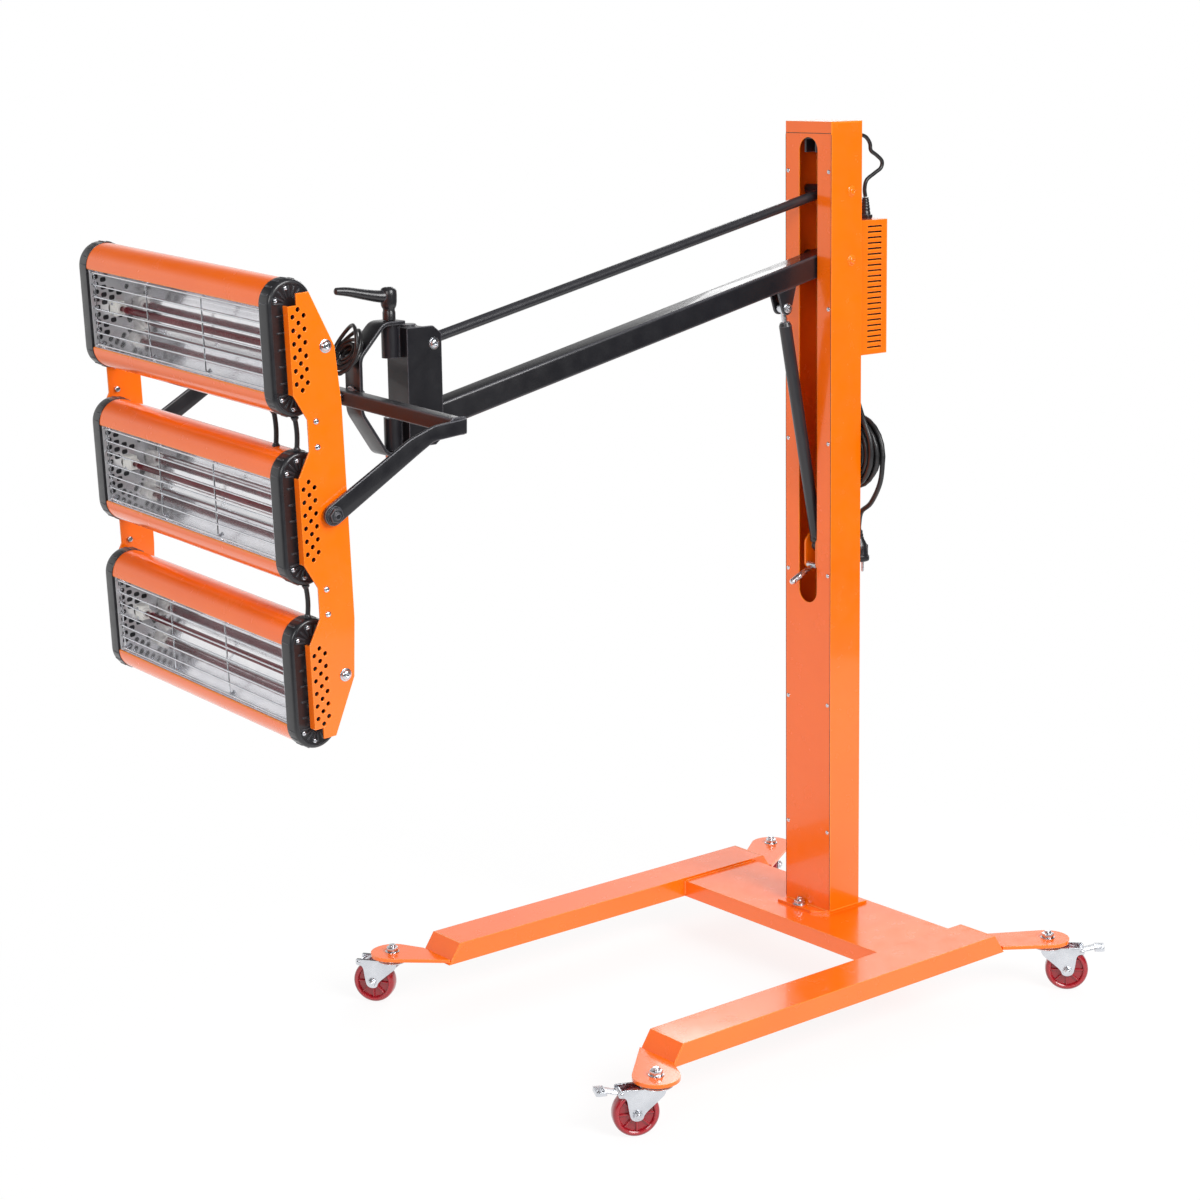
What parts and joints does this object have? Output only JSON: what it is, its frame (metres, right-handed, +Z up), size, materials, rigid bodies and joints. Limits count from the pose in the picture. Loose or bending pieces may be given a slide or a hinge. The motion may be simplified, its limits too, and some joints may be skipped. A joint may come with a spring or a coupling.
{
  "type": "infrared curing lamp",
  "caption": "Mobile infrared paint-curing lamp: a stack of cassette heaters on a gas-sprung parallelogram arm, carried by a slotted column on a castored base.",
  "frame": {"origin": "on the floor, on the column's centre line", "axes": "+X from the column towards the lamps, +Y to the side with the foot-brake castors, +Z up"},
  "size_m": [1.5903, 0.8575, 1.525],
  "materials": {
    "orange_paint": "gloss powder coat",
    "black_paint": "satin powder coat",
    "zinc": "bright zinc plate",
    "black_plastic": "satin moulded",
    "cord_rubber": "satin",
    "wheel_poly": "gloss polyurethane",
    "reflector": "polished aluminium",
    "quartz": "ruby quartz",
    "ceramic": "glazed white"
  },
  "bodies": {
    "stand": {"side_legs": "orange_paint", "leg_end_plates": "orange_paint", "cross_box": "orange_paint", "foot_plate": "orange_paint", "base_bolts": "zinc", "column_channel": "orange_paint", "front_cover": "orange_paint", "column_cap": "orange_paint", "cover_screws": "orange_paint", "pivot_bolts": "zinc", "column_brackets": "black_paint", "control_box": "orange_paint", "control_cover": "orange_paint", "cable_glands": "black_plastic", "cord_hook": "zinc", "cord_feed": "cord_rubber", "cord_coil": "cord_rubber", "cord_tail": "cord_rubber", "cord_plug": "black_plastic", "rear_harness": "cord_rubber"},
    "slot_lever": {"slot_lever": "black_plastic"},
    "timer_dial": {"timer_dial": "black_plastic"},
    "rocker_top": {"rocker_top": "black_plastic"},
    "rocker_middle": {"rocker_middle": "black_plastic"},
    "rocker_bottom": {"rocker_bottom": "black_plastic"},
    "boom": {"boom": "black_paint", "clevis_pin": "zinc"},
    "upper_link": {"upper_link": "black_paint"},
    "gas_rod": {"gas_rod": "zinc"},
    "gas_cylinder": {"gas_cylinder": "black_paint"},
    "carrier": {"carrier": "black_paint", "carrier_pins": "zinc"},
    "clamp_lever": {"clamp_lever": "black_plastic"},
    "bow": {"bow": "black_paint", "bow_cable": "cord_rubber"},
    "yoke": {"yoke": "black_paint", "yoke_bolts": "zinc"},
    "lamp_head": {"plate_near": "orange_paint", "plate_far": "orange_paint", "tie_bars": "orange_paint", "plate_fasteners": "zinc", "housing_top": "orange_paint", "housing_middle": "orange_paint", "housing_bottom": "orange_paint", "reflectors": "reflector", "wire_guards": "zinc", "end_caps": "black_plastic", "quartz_tubes": "quartz", "ceramic_holders": "ceramic", "head_cables": "cord_rubber"},
    "castor_front_near": {"castor_fork_front_near": "zinc"},
    "wheel_front_near": {"castor_wheel_front_near": "wheel_poly"},
    "castor_front_far": {"castor_fork_front_far": "zinc"},
    "wheel_front_far": {"castor_wheel_front_far": "wheel_poly"},
    "castor_rear_near": {"castor_fork_rear_near": "zinc"},
    "wheel_rear_near": {"castor_wheel_rear_near": "wheel_poly"},
    "castor_rear_far": {"castor_fork_rear_far": "zinc"},
    "wheel_rear_far": {"castor_wheel_rear_far": "wheel_poly"},
    "pedal_front": {"castor_pedal_front": "zinc"},
    "pedal_rear": {"castor_pedal_rear": "zinc"}
  },
  "joints": [
    {"name": "boom_lift", "type": "hinge", "parent": "stand", "child": "boom", "pos_m": [-0.013, 0, 1.287], "axis": [0, -1, 0], "range_deg": [-5, 50]},
    {"name": "link_lift", "type": "hinge", "parent": "stand", "child": "upper_link", "pos_m": [-0.013, 0, 1.4055], "axis": [0, -1, 0], "range_deg": [-5, 50]},
    {"name": "carrier_level", "type": "hinge", "parent": "boom", "child": "carrier", "pos_m": [0.85504, 0, 1.09694], "axis": [0, 1, 0], "range_deg": [-5, 50]},
    {"name": "rod_swing", "type": "hinge", "parent": "boom", "child": "gas_rod", "pos_m": [0.0981, 0, 1.20903], "axis": [0, 1, 0], "range_deg": [-5, 50]},
    {"name": "gas_stroke", "type": "slide", "parent": "gas_rod", "child": "gas_cylinder", "axis": [-0.1946, 0, -0.9809], "range_m": [-0.0118, 0.116]},
    {"name": "head_yaw", "type": "hinge", "parent": "carrier", "child": "bow", "pos_m": [0.91804, 0, 1.09694], "axis": [0, 0, 1], "range_deg": [-75, 75]},
    {"name": "clamp_turn", "type": "hinge", "parent": "carrier", "child": "clamp_lever", "pos_m": [0.91804, 0, 1.09694], "axis": [0, 0, 1], "range_deg": [-60, 60]},
    {"name": "head_roll", "type": "hinge", "parent": "bow", "child": "yoke", "pos_m": [1.00304, 0, 1.14494], "axis": [1, 0, 0], "range_deg": [-40, 40]},
    {"name": "head_tilt", "type": "hinge", "parent": "yoke", "child": "lamp_head", "pos_m": [1.21704, 0.00001, 1.04444], "axis": [0, 0.999, -0.0457], "range_deg": [-45, 70]},
    {"name": "lever_press", "type": "hinge", "parent": "stand", "child": "slot_lever", "pos_m": [0.025, 0, 0.746], "axis": [0, 1, 0], "range_deg": [0, 12], "stiffness_Nm_per_rad": 1, "springref_deg": -5.73},
    {"name": "timer_turn", "type": "hinge", "parent": "stand", "child": "timer_dial", "pos_m": [-0.106, 0, 1.29801], "axis": [1, 0, 0], "range_deg": [0, 300]},
    {"name": "rocker_top_tip", "type": "hinge", "parent": "stand", "child": "rocker_top", "pos_m": [-0.105, 0, 1.24232], "axis": [0, 1, 0], "range_deg": [0, 10]},
    {"name": "rocker_middle_tip", "type": "hinge", "parent": "stand", "child": "rocker_middle", "pos_m": [-0.105, 0, 1.21294], "axis": [0, 1, 0], "range_deg": [0, 10]},
    {"name": "rocker_bottom_tip", "type": "hinge", "parent": "stand", "child": "rocker_bottom", "pos_m": [-0.105, 0, 1.18356], "axis": [0, 1, 0], "range_deg": [0, 10]},
    {"name": "swivel_front_near", "type": "hinge", "parent": "stand", "child": "castor_front_near", "pos_m": [0.706, 0.357, 0.078], "axis": [0, 0, 1], "continuous": true},
    {"name": "roll_front_near", "type": "hinge", "parent": "castor_front_near", "child": "wheel_front_near", "pos_m": [0.73656, 0.34209, 0.0375], "axis": [0.4384, 0.8988, 0], "continuous": true},
    {"name": "swivel_front_far", "type": "hinge", "parent": "stand", "child": "castor_front_far", "pos_m": [0.706, -0.357, 0.078], "axis": [0, 0, 1], "continuous": true},
    {"name": "roll_front_far", "type": "hinge", "parent": "castor_front_far", "child": "wheel_front_far", "pos_m": [0.72501, -0.38519, 0.0375], "axis": [0.829, 0.5592, 0], "continuous": true},
    {"name": "swivel_rear_near", "type": "hinge", "parent": "stand", "child": "castor_rear_near", "pos_m": [-0.207, 0.357, 0.078], "axis": [0, 0, 1], "continuous": true},
    {"name": "roll_rear_near", "type": "hinge", "parent": "castor_rear_near", "child": "wheel_rear_near", "pos_m": [-0.23104, 0.38104, 0.0375], "axis": [-0.7071, -0.7071, 0], "continuous": true},
    {"name": "swivel_rear_far", "type": "hinge", "parent": "stand", "child": "castor_rear_far", "pos_m": [-0.207, -0.357, 0.078], "axis": [0, 0, 1], "continuous": true},
    {"name": "roll_rear_far", "type": "hinge", "parent": "castor_rear_far", "child": "wheel_rear_far", "pos_m": [-0.22975, -0.38227, 0.0375], "axis": [0.7431, -0.6691, 0], "continuous": true},
    {"name": "pedal_front_press", "type": "hinge", "parent": "castor_front_near", "child": "pedal_front", "pos_m": [0.75903, 0.33114, 0.0725], "axis": [0.4384, 0.8988, 0], "range_deg": [0, 10]},
    {"name": "pedal_rear_press", "type": "hinge", "parent": "castor_rear_near", "child": "pedal_rear", "pos_m": [-0.24872, 0.39872, 0.0725], "axis": [-0.7071, -0.7071, 0], "range_deg": [0, 10]}
  ],
  "couplings": [
    {"joint": "link_lift", "follows": "boom_lift", "ratio": 1},
    {"joint": "carrier_level", "follows": "boom_lift", "ratio": 1},
    {"joint": "rod_swing", "follows": "boom_lift", "ratio": 1},
    {"joint": "gas_stroke", "follows": "boom_lift", "m_per_rad": 0.1316}
  ]
}
